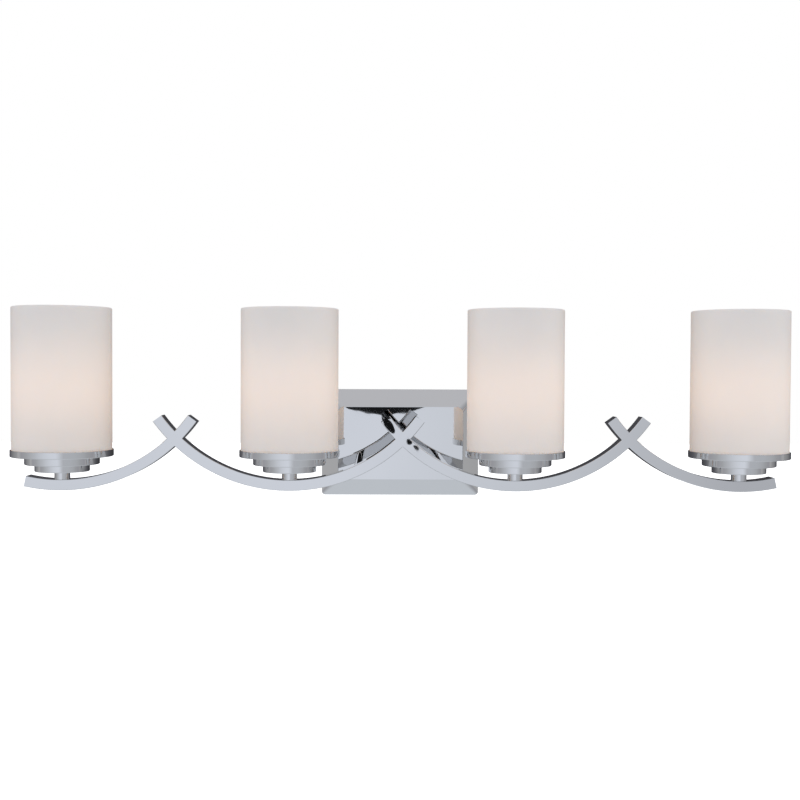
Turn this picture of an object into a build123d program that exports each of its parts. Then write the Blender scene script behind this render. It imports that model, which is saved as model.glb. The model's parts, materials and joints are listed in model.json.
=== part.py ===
from build123d import *
import os
from math import asin, atan2, cos, degrees, pi, sin, sqrt

# A vanity light bar. The wall is the plane y = 0, the fixture stands out towards -Y, +Z is up and
# the origin is the middle of the canopy's back. All sizes are in millimetres.

# Layout
LAMP_COUNT = 4
SHADE_PITCH = 233.0          # from one shade axis to the next
SHADE_REACH = 130.0          # wall to the shade axes
ARC_BOTTOM_Z = -36.7         # lowest point of each arc's centre line

# Arched bars, bent from rectangular tube
ARC_RADIUS = 166.0           # to the centre line
BAR_HEIGHT = 11.0
BAR_DEPTH = 19.0
BAR_WALL = 1.2
BAR_EDGE = 0.7               # rounding of the tube's long edges
TIP_LENGTH = 27.3            # of each arc past its crossing, along the centre line
ARC_OUTER_ANGLE = 12.4       # where the outermost arcs stop
END_CAP = 1.5                # length of the plugs in the tube ends

# Canopy, pressed from sheet
CANOPY_WIDTH = 178.0
CANOPY_HEIGHT = 120.0
CANOPY_DEPTH = 28.0
CANOPY_LIP = 8.0
CANOPY_BEVEL = 19.0
CANOPY_WALL = 1.2
CANOPY_CORNER = 4.0
CANOPY_FACE_CORNER = 8.0
CANOPY_EDGE = 1.0

# Crossbar behind the canopy
STRAP_HEIGHT = 22.0
STRAP_THICK = 1.6
STRAP_TAB = 7.0
STRAP_END_GAP = 0.4
BOX_SCREW_SPACING = 88.9
BOX_SLOT_WIDTH = 4.6
BOX_SLOT_LENGTH = 12.0
SIDE_SCREW_RADIUS = 2.0
SIDE_SCREW_LENGTH = 9.0
SIDE_SCREW_HEAD_RADIUS = 4.0
SIDE_SCREW_HEAD = 3.5
SIDE_SCREW_HEAD_EDGE = 1.0
GROUND_X = 26.0
GROUND_SCREW_RADIUS = 1.9
GROUND_HEAD_RADIUS = 3.8
GROUND_HEAD = 2.0
GROUND_HEAD_EDGE = 0.8
GROUND_STUD_Z = 24.0
GROUND_STUD_LENGTH = 6.0

# Standoff posts between the canopy and the two inner arcs
POST_X = 46.0
POST_RADIUS = 4.8
POST_BORE = 3.5
STUD_RADIUS = 4.0
STUD_BORE = 2.8
STUD_LENGTH = 7.5
POST_WASHER_RADIUS = 7.5
POST_WASHER = 1.0
POST_NUT = 3.5
POST_NUT_FLATS = 13.0

# Neck, nipple and fixings under each cup
NECK_RADIUS = 7.9
NECK_LENGTH = 8.1
NIPPLE_RADIUS = 4.8
NIPPLE_BORE = 3.2
NIPPLE_TAIL = 0.4            # how far the nipple shows inside the tube
CUP_WASHER_RADIUS = 11.0
CUP_WASHER = 1.0
CUP_NUT = 3.0
CUP_NUT_FLATS = 14.0

# Stepped fitter cup, three tiers from the bottom up
TIER_STEPS = (24.0, 14.0, 0.0)     # how much narrower each tier is than the rim
TIER_HEIGHTS = (7.3, 8.2, 6.9)
CUP_WALL = 1.2
CUP_EDGE = 0.9

# Glass cylinder
GLASS_RADIUS = 50.0
GLASS_HEIGHT = 151.0
GLASS_WALL = 3.0
GLASS_FLOOR = 4.0
GLASS_HOLE_GAP = 1.5         # between the glass floor and the lampholder
GLASS_FOOT_EDGE = 1.5
GLASS_RIM_EDGE = 1.35

# Lampholder
HOLDER_WALL = 4.7
HOLDER_CAP = 7.0
HOLDER_CAP_FLOOR = 3.5
HOLDER_CAP_WALL = 3.5
HOLDER_BODY = 38.0
HOLDER_EDGE = 1.0
HOLDER_SEAT = 5.0            # floor that carries the contacts
SHELL_WALL = 0.7
SHELL_HEIGHT = 26.0
SHELL_FLANGE = 0.8
SHELL_FLANGE_BORE = 9.5
SHELL_TAB_Y = 11.0
CONTACT_RADIUS = 5.5
CONTACT_TOP_RADIUS = 2.5
CONTACT_THICK = 0.6
CONTACT_TAB_Y = -3.0
CONTACT_RISE = 1.7
TAB_RADIUS = 1.0
PLATE_THICK = 0.8
PLATE_WIDTH = 5.0
HOT_PLATE_MARGIN = 3.0       # past the centre contact's tab
NEUTRAL_PLATE_MARGIN = 1.5   # past the screw shell's tab

# Ring that screws down on the lampholder and holds the glass
RING_HEIGHT = 4.0
RING_FLANGE = 1.5
RING_FLANGE_WIDTH = 7.0
RING_WALL = 4.0
RING_GROOVES = 24
RING_GROOVE_RADIUS = 0.6

# Bulb
BULB_RADIUS = 30.0
BULB_LENGTH = 110.0
BULB_NECK = 14.0
BULB_FLARE = 36.0
BULB_SKIN = 1.0
BULB_FOOT = 4.0              # how deep the glass sits in its cap
BULB_SHOULDER = 2.0          # from the cap up to the neck
BASE_RADIUS = 13.1
BASE_HEIGHT = 26.0
BASE_SKIN = 0.35
BASE_TAPER_TOP = 6.0         # heights above the bulb's tip
BASE_TAPER_FOOT = 3.0
BASE_FOOT_RADIUS = 9.0
INSULATOR_RADIUS = 8.0
INSULATOR_SHOULDER = 2.4
INSULATOR_TOP = 4.0
TIP_RADIUS = 5.0
TIP_FACE_RADIUS = 3.5
TIP_HEIGHT = 1.0

# Leads and their connectors
LEAD_RADIUS = 0.95
LEAD_SPACING = 2.1           # centre to centre, side by side
LEAD_BEND = 5.0
LEAD_LEVEL_STEP = 2.3
CONNECTOR_X = 12.0
CONNECTOR_RADIUS = 6.0
CONNECTOR_TOP_RADIUS = 3.6
CONNECTOR_BORE = 2.9
CONNECTOR_BOTTOM_Z = 4.0
CONNECTOR_HEIGHT = 22.0
CONNECTOR_SKIRT = 4.0
CONNECTOR_GRIP = 10.0        # length of lead inside a connector

# Clearances
LOOSE = 0.1                  # radial, screws and nipples in their holes
RUNNING = 0.07               # radial, bulb base in its shell and ring on the lampholder
GLASS_GAP = 0.3              # radial, glass in the cup
RING_GAP = 0.1               # under the ring
WELL_GAP = 0.43              # radial, screw shell in the lampholder
CONTACT_GAP = 0.3            # between the bulb's tip and the centre contact
PLATE_GAP = 0.6              # between the two terminal plates

# Derived sizes
HOLDER_WELL = BASE_RADIUS + RUNNING + SHELL_WALL + WELL_GAP
HOLDER_RADIUS = HOLDER_WELL + HOLDER_WALL
GLASS_HOLE = HOLDER_RADIUS + GLASS_HOLE_GAP
RING_RADIUS = HOLDER_RADIUS + RING_WALL
RING_FLANGE_RADIUS = HOLDER_RADIUS + RING_FLANGE_WIDTH
CUP_RADIUS = GLASS_RADIUS + GLASS_GAP + CUP_WALL
TIER_RADII = [CUP_RADIUS - step for step in TIER_STEPS]
CROSS_ANGLE = degrees(asin(SHADE_PITCH / 2 / ARC_RADIUS))
ARC_TIP_ANGLE = CROSS_ANGLE + degrees(TIP_LENGTH / ARC_RADIUS)

# Derived places
ARC_CENTRE_Z = ARC_BOTTOM_Z + ARC_RADIUS
SHADE_Y = -SHADE_REACH
LAMP_X = [SHADE_PITCH * (i - (LAMP_COUNT - 1) / 2) for i in range(LAMP_COUNT)]
BAR_TOP_Z = ARC_BOTTOM_Z + BAR_HEIGHT / 2
BAR_BACK_Y = SHADE_Y + BAR_DEPTH / 2
CUP_BOTTOM_Z = BAR_TOP_Z + NECK_LENGTH
CUP_TOP_Z = CUP_BOTTOM_Z + sum(TIER_HEIGHTS)
GLASS_BOTTOM_Z = CUP_BOTTOM_Z + TIER_HEIGHTS[0] + TIER_HEIGHTS[1] + CUP_WALL
HOLDER_BOTTOM_Z = CUP_BOTTOM_Z + CUP_WALL + CUP_WASHER + CUP_NUT
HOLDER_BODY_Z = HOLDER_BOTTOM_Z + HOLDER_CAP
SEAT_Z = HOLDER_BODY_Z + HOLDER_SEAT
TIP_Z = SEAT_Z + CONTACT_RISE + CONTACT_GAP
CANOPY_SLOPE = (CANOPY_DEPTH - CANOPY_LIP) / CANOPY_BEVEL
CANOPY_SKEW = CANOPY_WALL * sqrt(1 + CANOPY_SLOPE**2) / CANOPY_SLOPE   # wall measured along the face
CANOPY_INNER_Y = -(CANOPY_DEPTH - CANOPY_WALL)
SIDE_SCREW_Y = -CANOPY_LIP / 2
STUD_END_Y = CANOPY_INNER_Y + STUD_LENGTH
POST_ARC_X = LAMP_X[2] - POST_X                       # post to the nearest arc's middle
POST_ANGLE = asin(POST_ARC_X / ARC_RADIUS)
POST_Z = ARC_CENTRE_Z - ARC_RADIUS * cos(POST_ANGLE)


def on_y(x, y, z):
    """Plane at a point whose normal points away from the wall."""
    return Plane(origin=(x, y, z), x_dir=(1, 0, 0), z_dir=(0, -1, 0))


def rod(radius, length, x, y, z):
    """Round bar standing up from a point."""
    return Pos(x, y, z) * extrude(Circle(radius), length)


def rod_y(radius, start_y, end_y, x, z):
    """Round bar along Y."""
    return extrude(on_y(x, start_y, z) * Circle(radius), start_y - end_y)


def hexagon(flats, bore, height):
    """Plain nut lying on the XY plane."""
    return extrude(RegularPolygon(flats / 2, 6, major_radius=False) - Circle(bore), height)


def turned(points, x, y):
    """Solid of revolution about a vertical axis from radius and height points."""
    face = make_face(Plane.XZ * Polyline(*points, close=True))
    return Pos(x, y, 0) * revolve(face, Axis.Z)


# ---------------------------------------------------------------- canopy and wall fixing

def frustum(half_width, half_height, base_y, lip_y, face_y, run, inset):
    """Block from base_y to lip_y with a bevelled top that narrows by run up to face_y.

    Its corners are the canopy's, tighter by inset.
    """
    outline = RectangleRounded(2 * half_width, 2 * half_height, CANOPY_CORNER - inset)
    face = RectangleRounded(2 * (half_width - run), 2 * (half_height - run), CANOPY_FACE_CORNER - inset)
    lip = extrude(on_y(0, base_y, 0) * outline, base_y - lip_y)
    return lip + loft([on_y(0, lip_y, 0) * outline, on_y(0, face_y, 0) * face])


def canopy():
    outer = frustum(CANOPY_WIDTH / 2, CANOPY_HEIGHT / 2, 0, -CANOPY_LIP, -CANOPY_DEPTH, CANOPY_BEVEL, 0)
    front = outer.faces().sort_by(Axis.Y)[0]
    outer = fillet(front.edges(), CANOPY_EDGE)
    lip_y = -(CANOPY_LIP - (CANOPY_SKEW - CANOPY_WALL) * CANOPY_SLOPE)
    half_width = CANOPY_WIDTH / 2 - CANOPY_WALL
    half_height = CANOPY_HEIGHT / 2 - CANOPY_WALL
    run = (lip_y - CANOPY_INNER_Y) / CANOPY_SLOPE
    inner = frustum(half_width, half_height, 0, lip_y, CANOPY_INNER_Y, run, CANOPY_WALL)
    shell = outer - inner
    for side in (-1, 1):
        shell -= rod_y(STUD_RADIUS + LOOSE, 0, -CANOPY_DEPTH - 1, side * POST_X, POST_Z)
    across = Plane(origin=(-CANOPY_WIDTH, SIDE_SCREW_Y, 0), x_dir=(0, 1, 0), z_dir=(1, 0, 0))
    return shell - extrude(across * Circle(SIDE_SCREW_RADIUS + LOOSE), 2 * CANOPY_WIDTH)


STRAP_HALF = CANOPY_WIDTH / 2 - CANOPY_WALL - STRAP_END_GAP


def wall_crossbar():
    bar = extrude(on_y(0, 0, 0) * Rectangle(2 * STRAP_HALF, STRAP_HEIGHT), STRAP_THICK)
    for side in (-1, 1):
        tab_x = side * (STRAP_HALF - STRAP_THICK / 2)
        bar += extrude(on_y(tab_x, 0, 0) * Rectangle(STRAP_THICK, STRAP_HEIGHT), STRAP_TAB)
        slot = on_y(side * BOX_SCREW_SPACING / 2, 1, 0) * SlotOverall(BOX_SLOT_LENGTH, BOX_SLOT_WIDTH)
        bar -= extrude(slot, STRAP_THICK + 2)
    across = Plane(origin=(-CANOPY_WIDTH, SIDE_SCREW_Y, 0), x_dir=(0, 1, 0), z_dir=(1, 0, 0))
    bar -= extrude(across * Circle(SIDE_SCREW_RADIUS + LOOSE), 2 * CANOPY_WIDTH)
    return bar - rod_y(GROUND_SCREW_RADIUS, 1, -STRAP_THICK - 1, GROUND_X, 0)


def canopy_side_screws():
    face = CANOPY_WIDTH / 2
    profile = make_face(Polyline((-SIDE_SCREW_LENGTH, 0), (-SIDE_SCREW_LENGTH, SIDE_SCREW_RADIUS),
                                 (0, SIDE_SCREW_RADIUS), (0, SIDE_SCREW_HEAD_RADIUS),
                                 (SIDE_SCREW_HEAD - SIDE_SCREW_HEAD_EDGE, SIDE_SCREW_HEAD_RADIUS),
                                 (SIDE_SCREW_HEAD, SIDE_SCREW_HEAD_RADIUS - SIDE_SCREW_HEAD_EDGE),
                                 (SIDE_SCREW_HEAD, 0), close=True))
    screw = revolve(profile, Axis.X)
    right = Pos(face, SIDE_SCREW_Y, 0) * screw
    return Compound([*right.solids(), *mirror(right, Plane.YZ).solids()])


def ground_screw():
    head_y = -STRAP_THICK - 2 * LEAD_RADIUS
    shaft = rod_y(GROUND_SCREW_RADIUS, 0, head_y, GROUND_X, 0)
    head = rod_y(GROUND_HEAD_RADIUS, head_y, head_y - GROUND_HEAD, GROUND_X, 0)
    return shaft + fillet(head.faces().sort_by(Axis.Y)[0].edges(), GROUND_HEAD_EDGE)


def ground_stud():
    return rod_y(GROUND_SCREW_RADIUS, CANOPY_INNER_Y + GROUND_STUD_LENGTH, CANOPY_INNER_Y,
                 GROUND_X, GROUND_STUD_Z)


def ground_lead():
    """Bare earth wire from under the ground screw's head to the canopy's stud."""
    y = -STRAP_THICK - LEAD_RADIUS
    end_y = CANOPY_INNER_Y + GROUND_STUD_LENGTH
    points = [(GROUND_X, y, GROUND_SCREW_RADIUS), (GROUND_X, y, GROUND_STUD_Z),
              (GROUND_X, end_y, GROUND_STUD_Z)]
    return tube_along(FilletPolyline(*points, radius=2 * LEAD_BEND))


# ---------------------------------------------------------------- posts

def standoff_post(side):
    x = side * POST_X
    body = rod_y(POST_RADIUS, -CANOPY_DEPTH, BAR_BACK_Y, x, POST_Z)
    stud = rod_y(STUD_RADIUS, STUD_END_Y, -CANOPY_DEPTH, x, POST_Z)
    bore = rod_y(POST_BORE, -CANOPY_DEPTH - POST_RADIUS, BAR_BACK_Y, x, POST_Z)
    return body + stud - bore - rod_y(STUD_BORE, STUD_END_Y, BAR_BACK_Y, x, POST_Z)


def post_pair(solid, start_y):
    """The same piece on both studs, lying against start_y."""
    pieces = [on_y(side * POST_X, start_y, POST_Z) * solid for side in (-1, 1)]
    return Compound([s for piece in pieces for s in piece.solids()])


def post_washers():
    return post_pair(extrude(Circle(POST_WASHER_RADIUS) - Circle(STUD_RADIUS + LOOSE), POST_WASHER),
                     CANOPY_INNER_Y + POST_WASHER)


def post_nuts():
    return post_pair(hexagon(POST_NUT_FLATS, STUD_RADIUS + LOOSE, POST_NUT),
                     CANOPY_INNER_Y + POST_WASHER + POST_NUT)


# ---------------------------------------------------------------- arched bars

def arc_sweep(x, start, end, section):
    """Section swept about an arc's centre; angles in degrees from its lowest point, + towards +X."""
    axis = Axis((x, SHADE_Y, ARC_CENTRE_Z), (0, -1, 0))
    place = Plane(origin=(x, SHADE_Y, ARC_BOTTOM_Z), x_dir=(0, 1, 0), z_dir=(1, 0, 0))
    return revolve((place * section).rotate(axis, start), axis, end - start)


def arc_span(i):
    """Angles at which arc i starts and stops."""
    start = -ARC_OUTER_ANGLE if i == 0 else -ARC_TIP_ANGLE
    end = ARC_OUTER_ANGLE if i == LAMP_COUNT - 1 else ARC_TIP_ANGLE
    return start, end


def solid_arc(i):
    """Arc i as a sharp-edged solid bar, for cutting what butts against it."""
    return arc_sweep(LAMP_X[i], *arc_span(i), Rectangle(BAR_DEPTH, BAR_HEIGHT))


def outer_bar(i):
    """Outside of arc i: long edges rounded, but square where another bar lies flush with it."""
    rounded = RectangleRounded(BAR_DEPTH, BAR_HEIGHT, BAR_EDGE)
    square = Rectangle(BAR_DEPTH, BAR_HEIGHT)
    half = degrees(BAR_HEIGHT / 2 / ARC_RADIUS)
    here, last = arc_span(i)
    bar = Part()
    for j in (i - 1, i + 1):
        if 0 <= j < LAMP_COUNT and j not in neighbours_through(i):
            meet = CROSS_ANGLE * (j - i)
            bar += arc_sweep(LAMP_X[i], here, meet - half, rounded)
            bar += arc_sweep(LAMP_X[i], meet - half, meet + half, square)
            here = meet + half
    return bar + arc_sweep(LAMP_X[i], here, last, rounded)


CAVITY = Rectangle(BAR_DEPTH - 2 * BAR_WALL, BAR_HEIGHT - 2 * BAR_WALL)
CAP_ANGLE = degrees(END_CAP / ARC_RADIUS)
WINDOW_REACH = degrees(BAR_HEIGHT / ARC_RADIUS)


def arc_cavity(i):
    return arc_sweep(LAMP_X[i], *arc_span(i), CAVITY)


def neighbours_through(i):
    """Arcs that arc i is cut to butt against: the inner arcs carry the outer ones."""
    middle = (LAMP_COUNT - 1) / 2
    near = [j for j in (i - 1, i + 1) if 0 <= j < LAMP_COUNT]
    return [j for j in near if (abs(j - middle), j) < (abs(i - middle), i)]


def arc_pieces(i):
    """Arc i cut at its crossings: its main length first, then the short tips past them."""
    tube = outer_bar(i) - arc_cavity(i)
    for j in (i - 1, i + 1):
        if not 0 <= j < LAMP_COUNT:
            continue
        if j in neighbours_through(i):
            tube -= solid_arc(j)
        elif i + j != LAMP_COUNT - 1:
            tube -= lead_window(i, j)
    tube -= rod(NIPPLE_RADIUS + LOOSE, BAR_HEIGHT, LAMP_X[i], SHADE_Y, ARC_BOTTOM_Z)
    for side in (-1, 1):
        if abs(LAMP_X[i] - side * POST_X) < SHADE_PITCH / 2:
            tube -= rod_y(POST_BORE, BAR_BACK_Y + 1, SHADE_Y, side * POST_X, POST_Z)
    return sorted(tube.solids(), key=lambda s: -s.volume)


def lead_window(i, j):
    """Opening into arc i for the leads that come out of arc j."""
    reach = sorted((CROSS_ANGLE * (i - j), (CROSS_ANGLE - WINDOW_REACH) * (i - j)))
    return arc_sweep(LAMP_X[j], *reach, CAVITY)


def end_caps():
    """Plugs in the open tube ends, flush with them."""
    plugs = []
    for i in range(LAMP_COUNT):
        start, end = arc_span(i)
        plugs += arc_sweep(LAMP_X[i], start, start + CAP_ANGLE, CAVITY).solids()
        plugs += arc_sweep(LAMP_X[i], end - CAP_ANGLE, end, CAVITY).solids()
    return Compound(plugs)


# ---------------------------------------------------------------- under each shade

def neck(i):
    bottom = ARC_BOTTOM_Z
    sleeve = extrude(Circle(NECK_RADIUS) - Circle(NIPPLE_RADIUS + LOOSE), CUP_BOTTOM_Z - bottom)
    return Pos(LAMP_X[i], SHADE_Y, bottom) * sleeve - solid_arc(i)


def at_lamps(make):
    """One node made of a piece at every lamp."""
    return Compound([s for i in range(LAMP_COUNT) for s in make(LAMP_X[i]).solids()])


def nipple(x):
    bottom = BAR_TOP_Z - BAR_WALL - NIPPLE_TAIL
    length = HOLDER_BOTTOM_Z + HOLDER_CAP_FLOOR - bottom
    return rod(NIPPLE_RADIUS, length, x, SHADE_Y, bottom) - rod(NIPPLE_BORE, length, x, SHADE_Y, bottom)


def cup_washer(x):
    disc = extrude(Circle(CUP_WASHER_RADIUS) - Circle(NIPPLE_RADIUS + LOOSE), CUP_WASHER)
    return Pos(x, SHADE_Y, CUP_BOTTOM_Z + CUP_WALL) * disc


def cup_lock_nut(x):
    nut = hexagon(CUP_NUT_FLATS, NIPPLE_RADIUS + LOOSE, CUP_NUT)
    return Pos(x, SHADE_Y, CUP_BOTTOM_Z + CUP_WALL + CUP_WASHER) * nut


def fitter_cup(i):
    """Spun cup in three tiers, an even wall thick, open at the top."""
    shell = Part()
    z = CUP_BOTTOM_Z
    for radius, height in zip(TIER_RADII, TIER_HEIGHTS):
        shell += rod(radius, height, 0, 0, z)
        z += height
    corners = shell.edges().filter_by(GeomType.CIRCLE).filter_by(lambda e: e.arc_center.Z < CUP_TOP_Z - 1)
    outer = [e for e in corners if any(abs(e.radius - r) < 0.01 for r in TIER_RADII)]
    shell = fillet(outer, CUP_EDGE)
    shell = fillet(shell.faces().sort_by(Axis.Z)[-1].edges(), CUP_EDGE / 2)
    z = CUP_BOTTOM_Z + CUP_WALL
    for radius, height in zip(TIER_RADII, TIER_HEIGHTS):
        shell -= rod(radius - CUP_WALL, height + CUP_WALL, 0, 0, z)
        z += height
    shell -= rod(NIPPLE_RADIUS + LOOSE, CUP_WALL, 0, 0, CUP_BOTTOM_Z)
    return Pos(LAMP_X[i], SHADE_Y, 0) * shell


def glass_shade(i):
    """Open cylinder with a floor that has the lampholder's hole in it."""
    glass = rod(GLASS_RADIUS, GLASS_HEIGHT, 0, 0, 0)
    glass = fillet(glass.faces().sort_by(Axis.Z)[0].edges(), GLASS_FOOT_EDGE)
    glass -= rod(GLASS_RADIUS - GLASS_WALL, GLASS_HEIGHT, 0, 0, GLASS_FLOOR)
    glass = fillet(glass.faces().sort_by(Axis.Z)[-1].edges(), GLASS_RIM_EDGE)
    glass -= rod(GLASS_HOLE, GLASS_FLOOR, 0, 0, 0)
    return Pos(LAMP_X[i], SHADE_Y, GLASS_BOTTOM_Z) * glass


# ---------------------------------------------------------------- lampholder

def holder_cap(x):
    cap = rod(HOLDER_RADIUS, HOLDER_CAP, x, SHADE_Y, HOLDER_BOTTOM_Z)
    cap -= rod(HOLDER_RADIUS - HOLDER_CAP_WALL, HOLDER_CAP, x, SHADE_Y, HOLDER_BOTTOM_Z + HOLDER_CAP_FLOOR)
    return cap - rod(NIPPLE_RADIUS + LOOSE, HOLDER_CAP, x, SHADE_Y, HOLDER_BOTTOM_Z)


def lampholder(i):
    x = LAMP_X[i]
    body = rod(HOLDER_RADIUS, HOLDER_BODY, x, SHADE_Y, HOLDER_BODY_Z)
    body = fillet(body.faces().sort_by(Axis.Z)[-1].edges(), HOLDER_EDGE)
    body -= rod(HOLDER_WELL, HOLDER_BODY, x, SHADE_Y, SEAT_Z)
    for y in (CONTACT_TAB_Y, SHELL_TAB_Y):
        body -= rod(TAB_RADIUS + LOOSE, HOLDER_SEAT, x, SHADE_Y + y, HOLDER_BODY_Z)
    return body


def screw_shell(x):
    inner = BASE_RADIUS + RUNNING
    outer = inner + SHELL_WALL
    wall = extrude(Circle(outer) - Circle(inner), SHELL_HEIGHT)
    flange = extrude(Circle(outer) - Circle(SHELL_FLANGE_BORE), SHELL_FLANGE)
    tab = rod(TAB_RADIUS, HOLDER_SEAT, x, SHADE_Y + SHELL_TAB_Y, HOLDER_BODY_Z)
    return Pos(x, SHADE_Y, SEAT_Z) * (wall + flange) + tab


def centre_contact(x):
    leaf = turned([(0, SEAT_Z), (CONTACT_RADIUS, SEAT_Z), (CONTACT_RADIUS, SEAT_Z + CONTACT_THICK),
                   (CONTACT_TOP_RADIUS, SEAT_Z + CONTACT_RISE), (0, SEAT_Z + CONTACT_RISE)], x, SHADE_Y)
    return leaf + rod(TAB_RADIUS, HOLDER_SEAT, x, SHADE_Y + CONTACT_TAB_Y, HOLDER_BODY_Z)


def terminal_plates(x):
    """Plates under the seat, one for each lead."""
    z = HOLDER_BODY_Z - PLATE_THICK / 2
    hot_end = CONTACT_TAB_Y - HOT_PLATE_MARGIN
    neutral_end = SHELL_TAB_Y + NEUTRAL_PLATE_MARGIN
    plates = []
    for near, far in ((-PLATE_GAP / 2, hot_end), (PLATE_GAP / 2, neutral_end)):
        plate = Box(PLATE_WIDTH, abs(far - near), PLATE_THICK)
        plates += (Pos(x, SHADE_Y + (near + far) / 2, z) * plate).solids()
    return Compound(plates)


def socket_ring(i):
    z = GLASS_BOTTOM_Z + GLASS_FLOOR + RING_GAP
    bore = HOLDER_RADIUS + RUNNING
    ring = rod(RING_FLANGE_RADIUS, RING_FLANGE, 0, 0, z) + rod(RING_RADIUS, RING_HEIGHT, 0, 0, z)
    ring -= rod(bore, RING_HEIGHT, 0, 0, z)
    for k in range(RING_GROOVES):
        groove = Rot(0, 0, 360 * k / RING_GROOVES) * Pos(RING_RADIUS, 0, 0)
        ring -= groove * rod(RING_GROOVE_RADIUS, RING_HEIGHT, 0, 0, z + RING_FLANGE)
    return Pos(LAMP_X[i], SHADE_Y, 0) * ring


# ---------------------------------------------------------------- bulb

def bulb_profile(shrink):
    """Half outline of the glass: round globe, flared neck. shrink moves it inwards."""
    globe_z = TIP_Z + BULB_LENGTH - BULB_RADIUS
    globe = BULB_RADIUS - shrink
    flare = BULB_FLARE + shrink
    neck_x = BULB_NECK - shrink
    drop = sqrt((globe + flare)**2 - (neck_x + flare)**2)
    turn = atan2(-drop, neck_x + flare)
    join = (globe * cos(turn), globe_z + globe * sin(turn))
    waist = (neck_x, globe_z - drop)
    half = pi + turn / 2
    flare_mid = (neck_x + flare + flare * cos(half), globe_z - drop + flare * sin(half))
    side = (turn + pi / 2) / 2
    globe_mid = (globe * cos(side), globe_z + globe * sin(side))
    foot_z = TIP_Z + BASE_HEIGHT - BULB_FOOT
    foot = (BASE_RADIUS - BASE_SKIN - RUNNING - shrink, foot_z)
    return foot, waist, flare_mid, join, globe_mid, (0, globe_z + globe)


def bulb_solid(shrink, foot_drop):
    foot, waist, flare_mid, join, globe_mid, top = bulb_profile(shrink)
    low = (foot[0], foot[1] - foot_drop)
    rim = (foot[0], TIP_Z + BASE_HEIGHT)
    shoulder = (waist[0], rim[1] + BULB_SHOULDER)
    lines = [Line((0, low[1]), low), Line(low, rim), Line(rim, shoulder),
             Line(shoulder, waist), ThreePointArc(waist, flare_mid, join),
             ThreePointArc(join, globe_mid, top), Line(top, (0, low[1]))]
    return revolve(make_face(Plane.XZ * Wire(lines)), Axis.Z)


def bulb_glass(i):
    skin = bulb_solid(0, 0) - bulb_solid(BULB_SKIN, 1)
    return Pos(LAMP_X[i], SHADE_Y, 0) * skin


def bulb_base(i):
    """Screw cap, its glass insulator and its tip contact."""
    x = LAMP_X[i]
    outer, inner = BASE_RADIUS, BASE_RADIUS - BASE_SKIN
    top, taper, foot = TIP_Z + BASE_HEIGHT, TIP_Z + BASE_TAPER_TOP, TIP_Z + BASE_TAPER_FOOT
    cap = turned([(outer, top), (outer, taper), (BASE_FOOT_RADIUS, foot), (INSULATOR_RADIUS, foot),
                  (INSULATOR_RADIUS, foot + BASE_SKIN), (BASE_FOOT_RADIUS - BASE_SKIN, foot + BASE_SKIN),
                  (inner, taper + BASE_SKIN), (inner, top)], x, SHADE_Y)
    face = TIP_Z + TIP_HEIGHT
    insulator = turned([(0, face), (TIP_RADIUS, face), (INSULATOR_RADIUS, TIP_Z + INSULATOR_SHOULDER),
                        (INSULATOR_RADIUS, TIP_Z + INSULATOR_TOP), (0, TIP_Z + INSULATOR_TOP)], x, SHADE_Y)
    tip = turned([(0, TIP_Z), (TIP_FACE_RADIUS, TIP_Z), (TIP_RADIUS, face), (0, face)], x, SHADE_Y)
    return Compound([*cap.solids(), *insulator.solids(), *tip.solids()])


# ---------------------------------------------------------------- leads

def tube_along(path):
    """Round lead along a path."""
    return sweep(Plane(origin=path @ 0, z_dir=path % 0) * Circle(LEAD_RADIUS), path)


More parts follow.
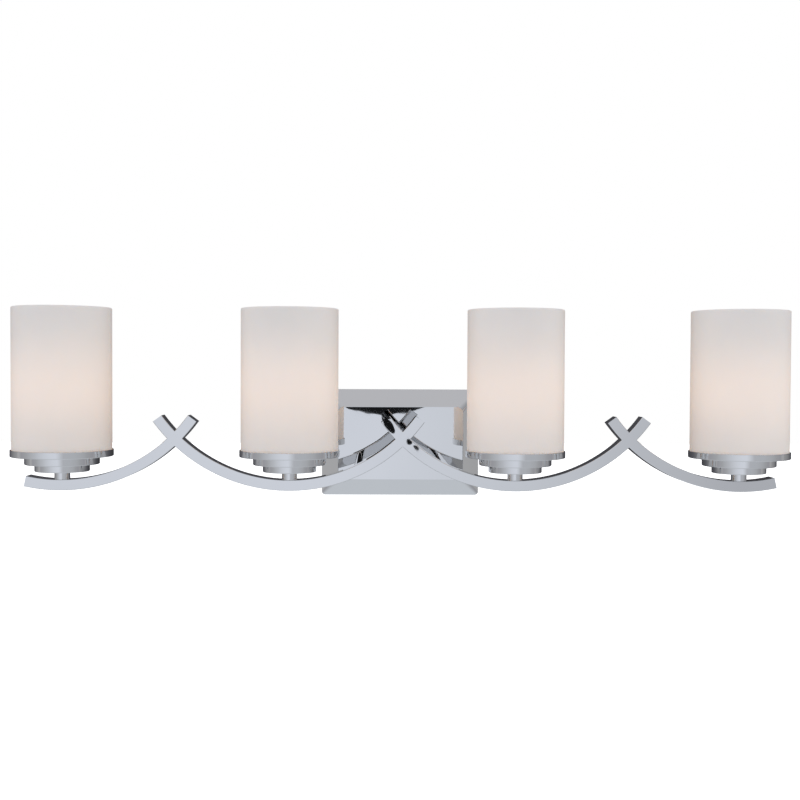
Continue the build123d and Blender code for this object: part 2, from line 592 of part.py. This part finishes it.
def lead_route(side, outer, neutral):
    """Path of one lead, worked out on the left side and mirrored for side -1.

    It drops through the nipple, follows the arc (and the next one for the outer lamp), turns into
    the post, and inside the canopy runs across and up into its connector.
    """
    level = outer_level(outer, neutral)
    lane = LEAD_SPACING / 2 * (1 if neutral else -1)
    along = -lane
    radius = ARC_RADIUS + LEAD_SPACING / 2 * (1 if outer else -1)
    y = SHADE_Y + lane
    r = LEAD_BEND
    x = LAMP_X[0] if outer else LAMP_X[1]
    zc = ARC_CENTRE_Z

    def on_arc(cx, angle):
        return Vector(cx + radius * sin(angle), y, zc - radius * cos(angle))

    drop = asin(r / (radius - r))
    bend_z = zc - sqrt((radius - r)**2 - r**2)
    top = Vector(x, y, HOLDER_BODY_Z - PLATE_THICK)
    start = Vector(x, y, bend_z)
    turn = drop / 2 - 3 * pi / 4
    bend_mid = Vector(x + r + r * cos(turn), y, bend_z + r * sin(turn))
    edges = [Edge.make_line(top, start), Edge.make_three_point_arc(start, bend_mid, on_arc(x, drop))]
    here = drop
    if outer:
        meet = asin(SHADE_PITCH / 2 / (radius + r))
        peak_z = zc - (radius + r) * cos(meet)
        halfway = (here + meet) / 2
        edges.append(Edge.make_three_point_arc(on_arc(x, here), on_arc(x, halfway), on_arc(x, meet)))
        peak = Vector(x + SHADE_PITCH / 2, y, peak_z + r)
        edges.append(Edge.make_three_point_arc(on_arc(x, meet), peak, on_arc(x + SHADE_PITCH, -meet)))
        x += SHADE_PITCH
        here = -meet
    leave = POST_ANGLE + (along - r) / radius
    edges.append(Edge.make_three_point_arc(on_arc(x, here), on_arc(x, (here + leave) / 2), on_arc(x, leave)))
    tangent = Vector(cos(leave), 0, sin(leave))
    inward = Vector(0, 1, 0)
    corner = on_arc(x, leave) + tangent * r
    edges += rounded_turn(corner, tangent, inward, r)
    across = Vector(1, 0, 0)
    turn_at = Vector(corner.X, level, corner.Z)
    edges.append(Edge.make_line(corner + inward * r, turn_at - inward * r))
    edges += rounded_turn(turn_at, inward, across, r)
    connector_x = CONNECTOR_X * (side if neutral else -side) - LEAD_SPACING / 2
    rise_at = Vector(connector_x, level, corner.Z)
    edges.append(Edge.make_line(turn_at + across * r, rise_at - across * r))
    up = Vector(0, 0, 1)
    edges += rounded_turn(rise_at, across, up, r)
    finish = Vector(connector_x, level, CONNECTOR_BOTTOM_Z + CONNECTOR_GRIP)
    edges.append(Edge.make_line(rise_at + up * r, finish))
    return Wire(edges)


def rounded_turn(corner, before, after, r):
    """Quarter circle from the run before a corner to the run after it."""
    start, end = corner - before * r, corner + after * r
    centre = start + after * r
    middle = centre + (before - after).normalized() * r
    return [Edge.make_three_point_arc(start, middle, end)]


FIRST_LEVEL_Y = STUD_END_Y + LEAD_BEND


def outer_level(outer, neutral):
    """Depth behind the canopy face at which a lead crosses to its connector."""
    order = (2 if neutral else 0) + (0 if outer else 1)
    return FIRST_LEVEL_Y + LEAD_LEVEL_STEP * order


def lamp_leads(i):
    """Hot and neutral lead of one lamp."""
    side = 1 if i < LAMP_COUNT / 2 else -1
    outer = i in (0, LAMP_COUNT - 1)
    leads = []
    for neutral in (False, True):
        lead = tube_along(lead_route(side, outer, neutral))
        leads += (lead if side == 1 else mirror(lead, Plane.YZ)).solids()
    return Compound(leads)


def wire_connectors():
    """Twist-on caps, hot on the left and neutral on the right."""
    caps = []
    for x, neutral in ((-CONNECTOR_X, False), (CONNECTOR_X, True)):
        y = outer_level(True, neutral) + LEAD_LEVEL_STEP / 2
        top = CONNECTOR_BOTTOM_Z + CONNECTOR_HEIGHT
        cone = turned([(0, CONNECTOR_BOTTOM_Z), (CONNECTOR_RADIUS, CONNECTOR_BOTTOM_Z),
                       (CONNECTOR_RADIUS, CONNECTOR_BOTTOM_Z + CONNECTOR_SKIRT), (CONNECTOR_TOP_RADIUS, top),
                       (0, top)], x, y)
        caps += (cone - rod(CONNECTOR_BORE, CONNECTOR_GRIP, x, y, CONNECTOR_BOTTOM_Z)).solids()
    return Compound(caps)


# ---------------------------------------------------------------- write every node

def build():
    nodes = {
        "canopy": canopy(), "wall_crossbar": wall_crossbar(), "canopy_side_screws": canopy_side_screws(),
        "ground_screw": ground_screw(), "ground_stud": ground_stud(), "ground_lead": ground_lead(),
        "standoff_post_left": standoff_post(-1), "standoff_post_right": standoff_post(1),
        "post_washers": post_washers(), "post_nuts": post_nuts(), "wire_connectors": wire_connectors(),
        "threaded_nipples": at_lamps(nipple), "cup_washers": at_lamps(cup_washer),
        "cup_lock_nuts": at_lamps(cup_lock_nut), "lampholder_caps": at_lamps(holder_cap),
        "screw_shells": at_lamps(screw_shell), "centre_contacts": at_lamps(centre_contact),
        "terminal_plates": at_lamps(terminal_plates),
    }
    per_lamp = {"neck": neck, "fitter_cup": fitter_cup, "glass_shade": glass_shade, "lampholder": lampholder,
                "socket_ring": socket_ring, "bulb_glass": bulb_glass, "bulb_base": bulb_base,
                "lamp_leads": lamp_leads}
    tips = []
    for i in range(LAMP_COUNT):
        for name, make in per_lamp.items():
            nodes[f"{name}_{i + 1}"] = make(i)
        pieces = arc_pieces(i)
        nodes[f"arc_bar_{i + 1}"] = pieces[0]
        tips += pieces[1:]
    for k, tip in enumerate(sorted(tips, key=lambda s: s.center().X), start=1):
        nodes[f"cross_tip_{k}"] = tip
    nodes["end_caps"] = end_caps()
    return nodes


os.makedirs("parts", exist_ok=True)
for name, shape in build().items():
    export_step(shape, f"parts/{name}.step")
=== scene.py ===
import json
import math

import bpy
import bmesh
from mathutils import Matrix, Vector


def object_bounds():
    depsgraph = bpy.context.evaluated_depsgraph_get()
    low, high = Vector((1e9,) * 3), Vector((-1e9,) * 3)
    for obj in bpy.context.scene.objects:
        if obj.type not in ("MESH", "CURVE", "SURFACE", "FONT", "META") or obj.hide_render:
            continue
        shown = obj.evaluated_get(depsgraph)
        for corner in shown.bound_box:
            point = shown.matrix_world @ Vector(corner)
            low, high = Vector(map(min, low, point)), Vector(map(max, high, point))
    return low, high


# A chrome vanity light bar with four lit opal glass cylinders, in a white studio.
# Everything is in metres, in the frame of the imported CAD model: wall at y = 0, room towards -Y.

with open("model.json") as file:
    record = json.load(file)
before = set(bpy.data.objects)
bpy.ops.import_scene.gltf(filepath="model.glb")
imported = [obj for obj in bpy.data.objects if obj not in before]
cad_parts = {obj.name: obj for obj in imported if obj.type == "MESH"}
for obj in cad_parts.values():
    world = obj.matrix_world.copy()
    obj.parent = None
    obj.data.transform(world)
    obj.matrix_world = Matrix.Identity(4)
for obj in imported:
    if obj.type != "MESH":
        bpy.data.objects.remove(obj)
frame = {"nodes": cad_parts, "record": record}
cad_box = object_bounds()

# ------------------------------------------------------------------ camera

CAMERA_PLACE = Vector((-0.0269, -1.3218, 0.0826))
CAMERA_YAW = 1.152           # degrees to the right of straight at the wall
CAMERA_PITCH = -1.507        # degrees up
CAMERA_ROLL = 0.264          # degrees, the picture turns clockwise
CAMERA_LENS = 52.02          # mm
SENSOR_WIDTH = 36.0          # mm
CLIP_NEAR = 0.01
CLIP_FAR = 60.0


def camera_turn():
    """Right, up and back of the camera, as a rotation matrix."""
    yaw, pitch, roll = (math.radians(a) for a in (CAMERA_YAW, CAMERA_PITCH, CAMERA_ROLL))
    forward = Vector((math.sin(yaw) * math.cos(pitch), math.cos(yaw) * math.cos(pitch), math.sin(pitch)))
    level_right = forward.cross(Vector((0, 0, 1))).normalized()
    level_up = level_right.cross(forward)
    right = level_right * math.cos(roll) + level_up * math.sin(roll)
    up = level_up * math.cos(roll) - level_right * math.sin(roll)
    return Matrix((right, up, -forward)).transposed()


def make_camera():
    data = bpy.data.cameras.new("camera")
    data.lens = CAMERA_LENS
    data.sensor_width = SENSOR_WIDTH
    data.clip_start = CLIP_NEAR
    data.clip_end = CLIP_FAR
    camera = bpy.data.objects.new("camera", data)
    camera.matrix_world = Matrix.Translation(CAMERA_PLACE) @ camera_turn().to_4x4()
    bpy.context.collection.objects.link(camera)
    bpy.context.scene.camera = camera


# ------------------------------------------------------------------ studio

WHITE = (1.0, 1.0, 1.0)

# Tone of the studio around the object: 0 towards the wall, 1 straight into the room.
AROUND = [(0.0, (0.06, 0.06, 0.067)), (0.12, (0.12, 0.12, 0.135)), (0.3, (0.31, 0.31, 0.32)),
          (0.4, (0.38, 0.38, 0.39)), (0.44, (0.49, 0.49, 0.497)), (0.48, (0.47, 0.47, 0.48)),
          (0.54, (0.39, 0.39, 0.42)), (0.67, (0.44, 0.45, 0.47)),
          (0.84, (0.58, 0.60, 0.64)), (1.0, (0.785, 0.82, 0.895))]
# How far the right side dims it: 0 at the far left, 1 at the far right.
RIGHT_SHADE = [(0.5, WHITE), (0.56, (0.90, 0.90, 0.89)), (0.65, (0.70, 0.69, 0.68)),
               (0.75, (0.74, 0.74, 0.73)), (0.95, (0.95, 0.95, 0.95))]
# Tone straight down and straight up.
CAPS = [(0.0, (0.64, 0.675, 0.72)), (1.0, (0.60, 0.60, 0.625))]
CAPS_START = 0.45            # the vertical part of a direction where the caps begin to show
CAPS_FULL = 0.95


def ramp(nodes, stops):
    node = nodes.new("ShaderNodeValToRGB")
    elements = node.color_ramp.elements
    while len(elements) < len(stops):
        elements.new(0.5)
    for element, (place, colour) in zip(elements, stops):
        element.position = place
        element.color = (*colour, 1.0)
    return node


def ramp_along(nodes, links, direction, low, high, stops):
    """Ramp over one part of a direction, which is stretched from low..high to 0..1."""
    stretched = nodes.new("ShaderNodeMapRange")
    stretched.inputs["From Min"].default_value = low
    stretched.inputs["From Max"].default_value = high
    links.new(direction, stretched.inputs["Value"])
    node = ramp(nodes, stops)
    links.new(stretched.outputs[0], node.inputs[0])
    return node


def colour_mix(nodes, links, first, second):
    node = nodes.new("ShaderNodeMix")
    node.data_type = "RGBA"
    links.new(first, node.inputs["A"])
    if second is not None:
        links.new(second, node.inputs["B"])
    return node


def studio_tone(nodes, links):
    """Colour that the studio has in each direction, as the object sees it."""
    coordinates = nodes.new("ShaderNodeTexCoord")
    split = nodes.new("ShaderNodeSeparateXYZ")
    links.new(coordinates.outputs["Generated"], split.inputs[0])
    around = ramp_along(nodes, links, split.outputs["Y"], 1.0, -1.0, AROUND)
    shade_right = ramp_along(nodes, links, split.outputs["X"], -1.0, 1.0, RIGHT_SHADE)
    dimmed = colour_mix(nodes, links, around.outputs[0], shade_right.outputs[0])
    dimmed.blend_type = "MULTIPLY"
    dimmed.inputs["Factor"].default_value = 1.0
    upright = nodes.new("ShaderNodeMath")
    upright.operation = "ABSOLUTE"
    links.new(split.outputs["Z"], upright.inputs[0])
    steep = nodes.new("ShaderNodeMapRange")
    steep.interpolation_type = "SMOOTHSTEP"
    steep.inputs["From Min"].default_value = CAPS_START
    steep.inputs["From Max"].default_value = CAPS_FULL
    links.new(upright.outputs[0], steep.inputs["Value"])
    caps = ramp_along(nodes, links, split.outputs["Z"], -1.0, 1.0, CAPS)
    room = colour_mix(nodes, links, dimmed.outputs["Result"], caps.outputs[0])
    links.new(steep.outputs[0], room.inputs["Factor"])
    return room


def make_world():
    """White behind the object; the room that lights and mirrors in it is pale grey.

    Brightest behind the camera, dimmer at the sides and to the right, dark towards the wall.
    """
    world = bpy.data.worlds.new("studio")
    bpy.context.scene.world = world
    world.use_nodes = True
    nodes, links = world.node_tree.nodes, world.node_tree.links
    nodes.clear()
    room = studio_tone(nodes, links)
    seen = colour_mix(nodes, links, room.outputs["Result"], None)
    seen.inputs["B"].default_value = (*WHITE, 1.0)
    path = nodes.new("ShaderNodeLightPath")
    links.new(path.outputs["Is Camera Ray"], seen.inputs["Factor"])
    background = nodes.new("ShaderNodeBackground")
    links.new(seen.outputs["Result"], background.inputs["Color"])
    output = nodes.new("ShaderNodeOutputWorld")
    links.new(background.outputs[0], output.inputs["Surface"])


def linked_object(name, bm):
    """New object from a bmesh, in the scene."""
    mesh = bpy.data.meshes.new(name)
    bm.to_mesh(mesh)
    bm.free()
    obj = bpy.data.objects.new(name, mesh)
    bpy.context.collection.objects.link(obj)
    return obj


def flat_material(name, colour, emission):
    material = bpy.data.materials.new(name)
    material.use_nodes = True
    shader = material.node_tree.nodes["Principled BSDF"]
    shader.inputs["Base Color"].default_value = (*colour, 1.0)
    shader.inputs["Roughness"].default_value = 0.9
    shader.inputs["Emission Color"].default_value = (*WHITE, 1.0)
    shader.inputs["Emission Strength"].default_value = emission
    return material


FLOOR_DROP = 0.9             # below the fixture, which hangs on its wall
FLOOR_SIZE = (30.0, 30.0, 0.02)


def make_floor():
    """Pale floor well below the fixture."""
    middle = cad_box[0][2] - FLOOR_DROP - FLOOR_SIZE[2] / 2
    bm = bmesh.new()
    block = Matrix.Translation((0, 0, middle)) @ Matrix.Diagonal((*FLOOR_SIZE, 1.0))
    bmesh.ops.create_cube(bm, size=1.0, matrix=block)
    floor = linked_object("floor", bm)
    floor.data.materials.append(flat_material("pale_floor", (0.9, 0.9, 0.9), 1.0))
    floor.visible_glossy = False
    floor.visible_diffuse = False
    floor.visible_transmission = False


# What the chrome mirrors of the camera: offset from its lens, radii, degrees of tilt.
DARK_SHAPES = {"camera_body": ((0.018, 0.0, -0.039), (0.130, 0.03, 0.0615), 0.0),
               "camera_foot": ((0.025, 0.0, -0.115), (0.0085, 0.01, 0.019), -33.0),
               "camera_knob": ((0.066, 0.0, -0.148), (0.006, 0.006, 0.007), 0.0),
               "stand_knob": ((0.0805, 0.0, -0.161), (0.008, 0.006, 0.0045), 35.0)}
BALL_SEGMENTS = 48


def ball_mesh(name, centre, radii, tilt):
    """Smooth ellipsoid, tilted about the Y axis."""
    bm = bmesh.new()
    turn = Matrix.Rotation(math.radians(tilt), 4, "Y")
    shape = Matrix.Translation(centre) @ turn @ Matrix.Diagonal((*radii, 1.0))
    bmesh.ops.create_uvsphere(bm, u_segments=BALL_SEGMENTS, v_segments=BALL_SEGMENTS // 2, radius=1.0,
                              matrix=shape)
    for face in bm.faces:
        face.smooth = True
    return linked_object(name, bm)


def make_dark_camera():
    """Dark camera with its foot and knobs where the picture is taken from, seen only in the chrome."""
    dark = flat_material("studio_black", (0.012, 0.012, 0.013), 0.0)
    for name, (offset, radii, tilt) in DARK_SHAPES.items():
        piece = ball_mesh(name, CAMERA_PLACE + Vector(offset), radii, tilt)
        piece.data.materials.append(dark)
        piece.visible_camera = False
        piece.visible_diffuse = False
        piece.visible_shadow = False


SOFT_LIGHTS = {"soft_left": ((-1.9, -0.5, 1.1), 3.0), "soft_right": ((1.9, -0.5, 1.1), 7.0)}   # place, watts
SOFT_SIZE = 1.4
LIGHT_AIM = Vector((0, -0.1, 0.03))


def make_lights():
    """Large soft lights high at both sides, the right one stronger."""
    for name, (place, power) in SOFT_LIGHTS.items():
        data = bpy.data.lights.new(name, "AREA")
        data.shape = "RECTANGLE"
        data.size = SOFT_SIZE
        data.size_y = SOFT_SIZE
        data.energy = power
        light = bpy.data.objects.new(name, data)
        light.location = place
        light.rotation_euler = (LIGHT_AIM - light.location).to_track_quat("-Z", "Y").to_euler()
        light.visible_glossy = False
        bpy.context.collection.objects.link(light)


# ------------------------------------------------------------------ materials

NOISE_LOW = 0.3              # noise mostly stays between these two
NOISE_HIGH = 0.7

BULB_GLOW = 0.95
BULB_HEIGHT = 0.062          # of its middle
PAINTED_GLOW_NEAR = 0.27             # painted glow (emission) of the glass at the bulb's height, standing in for the bulb's light through its wall
PAINTED_GLOW_FAR = 0.16              # painted glow (emission) of the glass towards its ends
PAINTED_GLOW_REACH = 0.075           # from the bulb's height to where the painted glow has faded


def new_material(name):
    material = bpy.data.materials.new(name)
    material.use_nodes = True
    tree = material.node_tree
    return material, tree.nodes, tree.links, tree.nodes["Principled BSDF"]


def object_noise(nodes, links, scale, detail=3.0, stretch=(1.0, 1.0, 1.0)):
    """Noise in the object's own space, stretched along an axis if wanted."""
    coordinates = nodes.new("ShaderNodeTexCoord")
    mapping = nodes.new("ShaderNodeMapping")
    mapping.inputs["Scale"].default_value = stretch
    links.new(coordinates.outputs["Object"], mapping.inputs["Vector"])
    noise = nodes.new("ShaderNodeTexNoise")
    noise.inputs["Scale"].default_value = scale
    noise.inputs["Detail"].default_value = detail
    links.new(mapping.outputs[0], noise.inputs["Vector"])
    return noise


def spread(nodes, links, source, low, high, socket):
    """Noise factor stretched to a range of values."""
    node = nodes.new("ShaderNodeMapRange")
    node.inputs["From Min"].default_value = NOISE_LOW
    node.inputs["From Max"].default_value = NOISE_HIGH
    node.inputs["To Min"].default_value = low
    node.inputs["To Max"].default_value = high
    links.new(source.outputs["Fac"], node.inputs["Value"])
    links.new(node.outputs[0], socket)


def bump(nodes, links, shader, source, strength, distance):
    node = nodes.new("ShaderNodeBump")
    node.inputs["Strength"].default_value = strength
    node.inputs["Distance"].default_value = distance
    links.new(source.outputs["Fac"], node.inputs["Height"])
    links.new(node.outputs[0], shader.inputs["Normal"])


def tinted(nodes, links, source, low, high, socket):
    """Colour that wanders between two close shades."""
    colours = ramp(nodes, [(NOISE_LOW, low), (NOISE_HIGH, high)])
    links.new(source.outputs["Fac"], colours.inputs[0])
    links.new(colours.outputs[0], socket)


def chrome_plate():
    """Polished plating: mirror bright, a very faint haze and the slight waviness of bent tube."""
    material, nodes, links, shader = new_material("chrome_plate")
    shader.inputs["Metallic"].default_value = 1.0
    haze = object_noise(nodes, links, 9.0)
    tinted(nodes, links, haze, (0.735, 0.74, 0.75), (0.76, 0.765, 0.77), shader.inputs["Base Color"])
    smear = object_noise(nodes, links, 42.0, 4.0)
    spread(nodes, links, smear, 0.008, 0.030, shader.inputs["Roughness"])
    wave = object_noise(nodes, links, 55.0, 1.0)
    bump(nodes, links, shader, wave, 0.12, 0.0002)
    return material


def painted_glow_by_height(nodes, links, socket):
    """Painted glow: emission on the glass, which is no lamp, strongest at the bulb's height and fading
    towards both ends of the glass.
    """
    place = nodes.new("ShaderNodeTexCoord")
    split = nodes.new("ShaderNodeSeparateXYZ")
    links.new(place.outputs["Object"], split.inputs[0])
    off_bulb = nodes.new("ShaderNodeMath")
    off_bulb.operation = "SUBTRACT"
    off_bulb.inputs[1].default_value = BULB_HEIGHT
    links.new(split.outputs["Z"], off_bulb.inputs[0])
    away = nodes.new("ShaderNodeMath")
    away.operation = "ABSOLUTE"
    links.new(off_bulb.outputs[0], away.inputs[0])
    glow = nodes.new("ShaderNodeMapRange")
    glow.interpolation_type = "SMOOTHSTEP"
    glow.inputs["From Max"].default_value = PAINTED_GLOW_REACH
    glow.inputs["To Min"].default_value = PAINTED_GLOW_NEAR
    glow.inputs["To Max"].default_value = PAINTED_GLOW_FAR
    links.new(away.outputs[0], glow.inputs["Value"])
    links.new(glow.outputs[0], socket)


def opal_glass():
    """White cased glass: satin skin, light passes and spreads in its wall, with a painted warm glow
    (emission) added on top.
    """
    material, nodes, links, shader = new_material("opal_glass")
    cloud = object_noise(nodes, links, 14.0, 4.0)
    tinted(nodes, links, cloud, (0.70, 0.77, 0.80), (0.735, 0.805, 0.835), shader.inputs["Base Color"])
    # painted glow: warm emission on the glass, standing in for the bulb's light shining through it
    shader.inputs["Emission Color"].default_value = (1.0, 0.64, 0.42, 1.0)
    painted_glow_by_height(nodes, links, shader.inputs["Emission Strength"])
    shader.inputs["Subsurface Weight"].default_value = 1.0
    shader.inputs["Subsurface Radius"].default_value = (1.0, 0.85, 0.75)
    shader.inputs["Subsurface Scale"].default_value = 0.008
    shader.inputs["IOR"].default_value = 1.5
    shader.inputs["Specular IOR Level"].default_value = 0.35
    satin = object_noise(nodes, links, 90.0, 3.0)
    spread(nodes, links, satin, 0.36, 0.46, shader.inputs["Roughness"])
    ripple = object_noise(nodes, links, 30.0, 2.0, (1.0, 1.0, 0.35))
    bump(nodes, links, shader, ripple, 0.08, 0.0004)
    return material


def bulb_glass():
    """Frosted bulb, lit."""
    material, nodes, links, shader = new_material("bulb_glass")
    frost = object_noise(nodes, links, 60.0)
    tinted(nodes, links, frost, (0.36, 0.31, 0.26), (0.40, 0.35, 0.30), shader.inputs["Base Color"])
    shader.inputs["Roughness"].default_value = 0.45
    shader.inputs["Emission Color"].default_value = (1.0, 0.70, 0.48, 1.0)
    shader.inputs["Emission Strength"].default_value = BULB_GLOW
    return material


def plain_metal(name, low, high, rough_low, rough_high, grain=120.0):
    """Unpolished metal with cloudy tone and uneven shine."""
    material, nodes, links, shader = new_material(name)
    shader.inputs["Metallic"].default_value = 1.0
    tone = object_noise(nodes, links, grain * 0.4, 4.0)
    tinted(nodes, links, tone, low, high, shader.inputs["Base Color"])
    shine = object_noise(nodes, links, grain, 5.0)
    spread(nodes, links, shine, rough_low, rough_high, shader.inputs["Roughness"])
    bump(nodes, links, shader, shine, 0.15, 0.0001)
    return material


def moulded(name, low, high, rough_low, rough_high, coat=0.0, grain=220.0):
    """Plastic, porcelain or paint: small changes of tone, fine surface."""
    material, nodes, links, shader = new_material(name)
    tone = object_noise(nodes, links, grain * 0.15, 3.0)
    tinted(nodes, links, tone, low, high, shader.inputs["Base Color"])
    fine = object_noise(nodes, links, grain, 4.0)
    spread(nodes, links, fine, rough_low, rough_high, shader.inputs["Roughness"])
    shader.inputs["Coat Weight"].default_value = coat
    bump(nodes, links, shader, fine, 0.10, 0.0001)
    return material


def all_materials():
    return {
        "chrome_plate": chrome_plate(),
        "opal_glass": opal_glass(),
        "bulb_glass": bulb_glass(),
        "nickel": plain_metal("nickel", (0.66, 0.64, 0.60), (0.74, 0.72, 0.68), 0.18, 0.32),
        "brass": plain_metal("brass", (0.66, 0.47, 0.20), (0.76, 0.57, 0.28), 0.20, 0.38),
        "copper": plain_metal("copper", (0.66, 0.31, 0.17), (0.78, 0.42, 0.26), 0.25, 0.40),
        "zinc_steel": plain_metal("zinc_steel", (0.50, 0.51, 0.50), (0.64, 0.65, 0.63), 0.28, 0.50),
        "porcelain": moulded("porcelain", (0.84, 0.82, 0.77), (0.88, 0.87, 0.83), 0.12, 0.25, 0.6),
        "ring_plastic": moulded("ring_plastic", (0.80, 0.78, 0.73), (0.85, 0.83, 0.79), 0.30, 0.45),
        "green_paint": moulded("green_paint", (0.05, 0.28, 0.10), (0.08, 0.36, 0.15), 0.25, 0.40, 0.3),
        "lead_insulation": moulded("lead_insulation", (0.03, 0.03, 0.032), (0.05, 0.05, 0.055), 0.40, 0.60),
        "connector_plastic": moulded("connector_plastic", (0.66, 0.12, 0.03), (0.75, 0.17, 0.05), 0.28, 0.42),
    }


def give_materials():
    materials = all_materials()
    for part in frame["record"]["subparts"]:
        obj = frame["nodes"][part["node"]]
        for slot in obj.material_slots:
            slot.material = materials[part["material_slot"]]


make_camera()
make_world()
make_floor()
make_dark_camera()
make_lights()
give_materials()
bpy.context.scene.view_settings.view_transform = "Standard"
